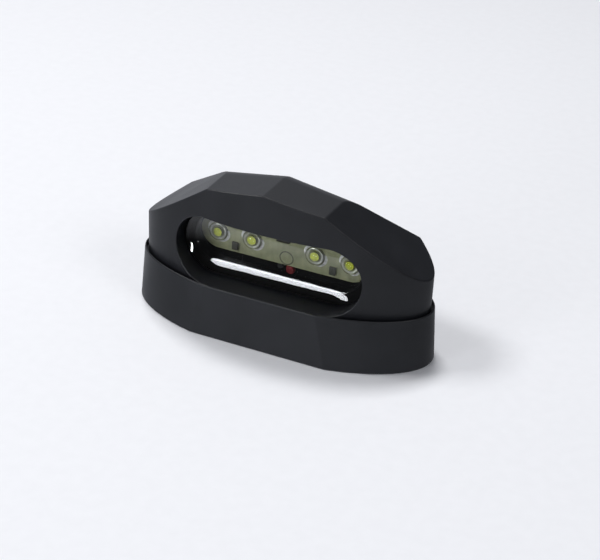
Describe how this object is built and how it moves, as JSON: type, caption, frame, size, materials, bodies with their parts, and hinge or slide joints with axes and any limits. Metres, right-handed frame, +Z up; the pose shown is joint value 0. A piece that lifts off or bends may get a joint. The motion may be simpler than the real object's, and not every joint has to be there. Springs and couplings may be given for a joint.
{
  "type": "number plate lamp",
  "caption": "Oval number plate lamp with a faceted black hood, a capsule window, a scooped clear lens and a row of light emitting diodes.",
  "frame": {"origin": "centre of the oval on the flat underside", "axes": "+X along the lamp, -Y towards the light side, +Z up from the fixing face"},
  "size_m": [0.084, 0.0363, 0.0438],
  "materials": {
    "hood_plastic": "fine matt black moulded",
    "base_plastic": "fine matt black moulded",
    "clear_lens": "clear polished moulded",
    "diode_epoxy": "clear cast",
    "phosphor": "matt",
    "solder_mask": "satin lacquer",
    "carrier_black": "polished black",
    "component_black": "matt",
    "seal_rubber": "matt",
    "lead_red_pvc": "satin",
    "lead_black_pvc": "satin",
    "brass": "turned",
    "zinc_steel": "zinc plated"
  },
  "bodies": {
    "root": {"base": "base_plastic", "housing_seal": "seal_rubber", "hood": "hood_plastic", "lens": "clear_lens", "lens_gasket": "seal_rubber", "carrier": "carrier_black", "circuit_board": "solder_mask", "led_dome_1": "diode_epoxy", "led_dome_2": "diode_epoxy", "led_dome_3": "diode_epoxy", "led_dome_4": "diode_epoxy", "led_chip_1": "phosphor", "led_chip_2": "phosphor", "led_chip_3": "phosphor", "led_chip_4": "phosphor", "resistor_left": "component_black", "resistor_right": "component_black", "polarity_diode": "component_black", "carrier_screw_left": "zinc_steel", "carrier_screw_right": "zinc_steel", "lead_red": "lead_red_pvc", "lead_black": "lead_black_pvc", "cable_grommet": "seal_rubber", "insert_left": "brass", "insert_right": "brass", "hood_screw_left": "zinc_steel", "hood_screw_right": "zinc_steel"}
  },
  "joints": []
}
